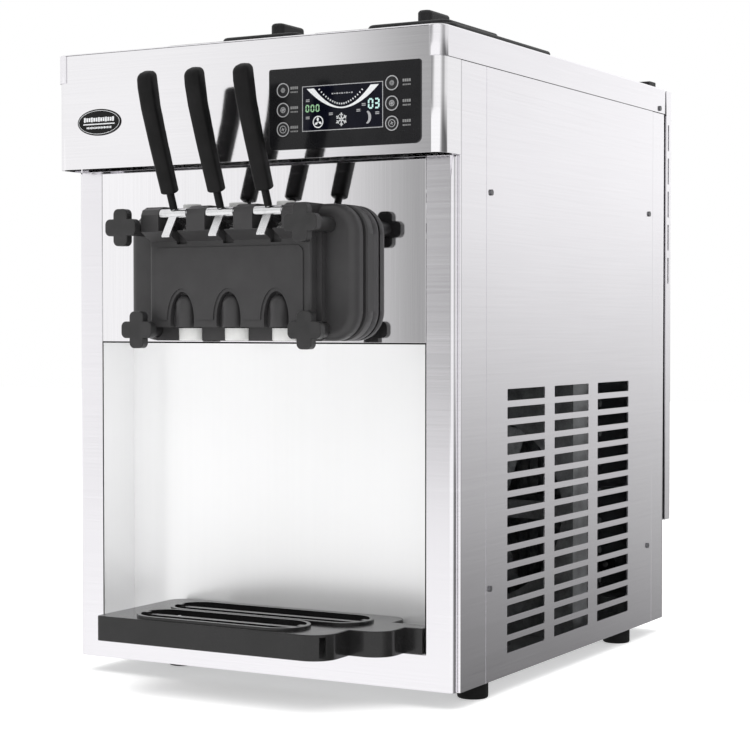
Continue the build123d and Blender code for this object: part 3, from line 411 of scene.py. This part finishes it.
def make_display():
    """Frame line, bowl-shaped gauge, figures and symbols of the display."""
    pale = bmesh.new()
    edge = 0.9 * mm
    for along in (-1, 1):
        add_bar(pale, (window_low.x + window_high.x) / 2,
                (window_low.z + window_high.z) / 2 + along * (window_tall - edge) / 2,
                window_wide, edge, window_y)
        add_bar(pale, (window_low.x + window_high.x) / 2 + along * (window_wide - edge) / 2,
                (window_low.z + window_high.z) / 2, edge, window_tall - 2 * edge, window_y)
    white = bmesh.new()
    add_band(white, bowl(0.057, 0.53, 0.951, 0.06), bowl(0.150, 0.50, 0.850, 0.06), window_y)
    dots = 21
    dot_line = bowl(0.215, 0.43, 0.775, 0.09, dots)
    for (x, z), (next_x, next_z) in zip(dot_line, dot_line[1:]):
        add_bar(white, x, z, 1.9 * mm, 1.3 * mm, window_y,
                math.atan2(next_z - z, next_x - x) + math.pi / 2)
    for step in range(9):
        width = (1.6 - 0.6 * (step % 2)) * mm
        add_bar(pale, *in_window(0.38 + 0.03 * step, 0.20), 2.1 * mm, width, window_y)
    # ring with three fan blades, snowflake and part moon
    fan_x, fan_z = in_window(0.20, 0.80)
    fan_r = 7.0 * mm
    add_ring(white, fan_x, fan_z, fan_r, 1.2 * mm, window_y)
    for blade in range(3):
        turn = math.radians(90 + 120 * blade)
        near, far = 0.4 * mm, 5.2 * mm
        line = [(near, 0.5 * mm), (far * 0.6, 2.0 * mm), (far, 0.6 * mm)]
        outer = [(fan_x + a * math.cos(turn) - b * math.sin(turn),
                  fan_z + a * math.sin(turn) + b * math.cos(turn)) for a, b in line]
        inner = [(fan_x + a * math.cos(turn) + b * math.sin(turn) * 0.5,
                  fan_z + a * math.sin(turn) - b * math.cos(turn) * 0.5) for a, b in line]
        add_band(white, outer, inner, window_y)
    snow_x, snow_z = in_window(0.49, 0.775)
    snow_r = 7.6 * mm
    for arm in range(6):
        turn = math.radians(60 * arm + 30)
        add_bar(white, snow_x + snow_r / 2 * math.cos(turn), snow_z + snow_r / 2 * math.sin(turn),
                snow_r, 1.3 * mm, window_y, turn)
        for branch in (-1, 1):
            tilt = turn + branch * math.radians(50)
            reach = snow_r * 0.55
            add_bar(white, snow_x + reach * math.cos(turn) + 1.3 * mm * math.cos(tilt),
                    snow_z + reach * math.sin(turn) + 1.3 * mm * math.sin(tilt),
                    3.0 * mm, 0.9 * mm, window_y, tilt)
    moon_x, moon_z = in_window(0.80, 0.76)
    dim = bmesh.new()
    add_band(dim, circle_points(moon_x, moon_z, 6.0 * mm, 7.5 * mm, -1.5, 1.3, 16, False),
             circle_points(moon_x - 0.8 * mm, moon_z, 3.2 * mm, 6.2 * mm, -1.5, 1.3, 16, False),
             window_y)
    for place in ((0.07, 0.32), (0.07, 0.70), (0.36, 0.64), (0.70, 0.60), (0.93, 0.68),
                  (0.765, 0.48)):
        x, z = in_window(*place)
        for row in (-1, 1):
            add_bar(dim, x, z + row * 0.9 * mm, 5.0 * mm, 1.0 * mm, window_y)
    green = bmesh.new()
    for place in range(3):
        digit(green, *in_window(0.066 + 0.064 * place, 0.495), 7.2 * mm, "abcdef")
    teal = bmesh.new()
    digit(teal, *in_window(0.850, 0.47), 10.0 * mm, "abcdef")
    digit(teal, *in_window(0.925, 0.47), 10.0 * mm, "abgcd")
    finish_marks(pale, "display_frame_line", print_grey, "cabinet")
    finish_marks(white, "display_symbols", print_white, "cabinet")
    finish_marks(dim, "display_small_text_bars", print_grey, "cabinet")
    finish_marks(green, "display_green_figures", lit_green, "cabinet")
    finish_marks(teal, "display_pale_figures", lit_teal, "cabinet")


make_display()


label_lines = (                 # bars in a line, pitch, rise of the line, length and width
    (4, 2.7, 2.0, 2.1, 3.2), (5, 2.1, -2.8, 1.5, 1.7),
)


def make_button_marks():
    """Ring and simple symbol on each button, and generic bars beside it for its label."""
    labels = bmesh.new()
    label_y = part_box("control_panel")[0].y - mark_lift
    for side in sides:
        for row in (1, 2, 3):
            name = f"button_{side}_{row}"
            low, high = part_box(name)
            spot = (low + high) / 2
            y = low.y - mark_lift
            ring = bmesh.new()
            add_ring(ring, spot.x, spot.z, 8.4 * mm, 1.1 * mm, y)
            arms = {1: 6, 2: 3, 3: 2}[row]
            for arm in range(arms):
                turn = math.radians(20 + 180 * arm / arms)
                add_bar(ring, spot.x, spot.z, (7.0 - row) * mm, 0.8 * mm, y, turn)
            add_ring(ring, spot.x, spot.z, (1.4 + row) * mm, 0.7 * mm, y)
            finish_marks(ring, f"{name}_ring", print_grey, name)
            beside = 15.0 * mm
            shift = beside if side == "left" else beside * 1.25
            for count, pitch, rise, length, width in label_lines:
                for column in range(count):
                    add_bar(labels, spot.x + shift + (column - (count - 1) / 2) * pitch * mm,
                            spot.z + rise * mm, length * mm, width * mm, label_y)
    finish_marks(labels, "panel_label_bars", label_grey, "cabinet")


make_button_marks()


def make_badge_marks():
    """Thin rim and three generic bars on the oval badge."""
    low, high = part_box("badge_plate")
    spot = (low + high) / 2
    y = low.y - mark_lift
    half_x, half_z = (high.x - low.x) / 2, (high.z - low.z) / 2
    marks = bmesh.new()
    inset, width = 1.8 * mm, 0.5 * mm
    add_band(marks, circle_points(spot.x, spot.z, half_x - inset, half_z - inset, count=72),
             circle_points(spot.x, spot.z, half_x - inset - width, half_z - inset - width,
                           count=72), y, closed=True)
    for step in range(13):
        tall = (4.6 if step % 3 else 5.6) * mm
        add_bar(marks, spot.x + (step - 6) * 3.6 * mm, spot.z + 3.4 * mm, 2.7 * mm, tall, y)
    add_bar(marks, spot.x, spot.z - 2.2 * mm, 48 * mm, 1.4 * mm, y)
    for step in range(16):
        add_bar(marks, spot.x + (step - 7.5) * 2.4 * mm, spot.z - 6.6 * mm, 1.7 * mm,
                (2.0 + step % 2 * 0.6) * mm, y)
    finish_marks(marks, "badge_marks", print_white, "cabinet")


make_badge_marks()

# ---------------------------------------------------------------- handle grips

handle_tilt = math.radians(22)
grip_stations = (               # distance up the axis, bend to the rear, width, depth
    (26.0, 0.0, 20.0, 15.5), (86.0, 0.0, 21.0, 16.5), (130.0, 1.2, 21.5, 18.0),
    (154.0, 4.5, 22.0, 19.0), (171.0, 8.5, 21.0, 18.5),
)
neck_rings = ((6.2, 4.4), (8.0, 4.6), (24.0, 4.6), (26.0, 4.7))     # distance up, radius
ring_points = 40
round_power, squarish_power = 2.0, 3.6


def station_at(height):
    """Bend, width and depth of the grip at a distance up its axis, eased between stations."""
    for (low, *start), (high, *end) in zip(grip_stations, grip_stations[1:]):
        if height <= high:
            part = (height - low) / (high - low)
            return [a + (b - a) * part for a, b in zip(start, end)]
    return list(grip_stations[-1][1:])


def grip_ring(mesh, pivot, x, height, bend, width, depth, power, rear_cut=0.0):
    """Ring of vertices across the leaning axis: round at a power of 2, squarer above it."""
    ring = []
    for step in range(ring_points):
        angle = 2 * math.pi * step / ring_points
        cos_part, sin_part = math.cos(angle), math.sin(angle)
        size = (abs(cos_part) ** power + abs(sin_part) ** power) ** (-1 / power)
        across_part = size * cos_part * width / 2
        rear_part = size * sin_part * depth / 2
        if sin_part > 0:
            rear_part -= rear_cut * sin_part ** 2
        along_lean = (bend + rear_part) * mm
        up = height * mm
        ring.append(mesh.verts.new((
            x + across_part * mm,
            pivot.y - up * math.sin(handle_tilt) + along_lean * math.cos(handle_tilt),
            pivot.z + up * math.cos(handle_tilt) + along_lean * math.sin(handle_tilt),
        )))
    return ring


def skin_rings(mesh, rings):
    """Join rings into a closed skin, flat at both ends."""
    for lower, upper in zip(rings, rings[1:]):
        for here in range(len(lower)):
            there = (here + 1) % len(lower)
            mesh.faces.new((lower[here], lower[there], upper[there], upper[here]))
    mesh.faces.new(rings[0])
    mesh.faces.new(rings[-1])


def make_grip(name):
    """Moulded grip: slim neck, stepped foot, finger steps down its rear and a rounded top."""
    mesh = bmesh.new()
    pivot = middle("pivot_pin")
    x = middle(f"lever_{name}").x
    rings = []
    for height, radius in neck_rings:
        rings.append(grip_ring(mesh, pivot, x, height, 0.0, 2 * radius, 2 * radius,
                               round_power))
    bottom, top = 26.0, 170.8
    round_foot, round_top = 1.6, 8.0
    step_low, step_high, step_pitch, step_depth = 58.0, 142.0, 21.0, 1.1
    spacing = 1.4
    count = int((top - bottom) / spacing)
    for index in range(count + 1):
        part = index / count
        height = bottom + (top - bottom) * part
        bend, width, depth = station_at(height)
        shrink = 0.0
        if height < bottom + round_foot:
            shrink = round_foot * (1 - math.sqrt(max(0.0, (height - bottom) / round_foot)))
        if height > top - round_top:
            rise = (height - top + round_top) / round_top
            shrink = round_top * 0.95 * (1 - math.sqrt(max(0.0, 1 - rise * rise)))
        cut = 0.0
        if step_low < height < step_high:
            cut = step_depth * (1 - (height - step_low) / step_pitch % 1.0)
        rings.append(grip_ring(mesh, pivot, x, height, bend, width - 2 * shrink,
                               depth - 2 * shrink, squarish_power, cut))
    skin_rings(mesh, rings)
    piece = finish_marks(mesh, f"moulded_grip_{name}", materials["grip_plastic"],
                         f"handle_{name}")
    for face in piece.data.polygons:
        face.use_smooth = len(face.vertices) == 4
    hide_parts(f"grip_{name}")


for spout in spouts:
    make_grip(spout)

# ---------------------------------------------------------------- painted shadow gap along the bay's edges


def make_bay_shadow_strip():
    """Thin black strip, painted shade standing in for the shadow in the gap where the bay's liner
    meets the front, along both sides and the top.
    """
    half = 230.0 * mm           # half the width of the bay's opening
    bottom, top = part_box("drip_tray")[0].z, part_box("front_plate")[0].z
    side_width, top_width, edge_thick = 0.9 * mm, 1.6 * mm, 1.0 * mm
    y = front - 0.1 * mm
    edge = bmesh.new()
    for sign in (-1, 1):
        add_bar(edge, sign * (half - side_width / 2), (bottom + top) / 2, side_width,
                top - bottom, y, thick=edge_thick)
    add_bar(edge, 0.0, top - top_width / 2, 2 * half - 2 * side_width, top_width, y,
            thick=edge_thick)
    # black rubber strip laid where there is only the shadow of a gap: painted shade
    finish_marks(edge, "bay_shadow_gap_strip", materials["rubber"], "cabinet")


make_bay_shadow_strip()

# ---------------------------------------------------------------- floor

bpy.ops.mesh.primitive_grid_add(x_subdivisions=8, y_subdivisions=8, size=16)
floor = bpy.context.object
floor.name = "floor"
floor.data.materials.append(floor_paper)
floor.visible_glossy = False
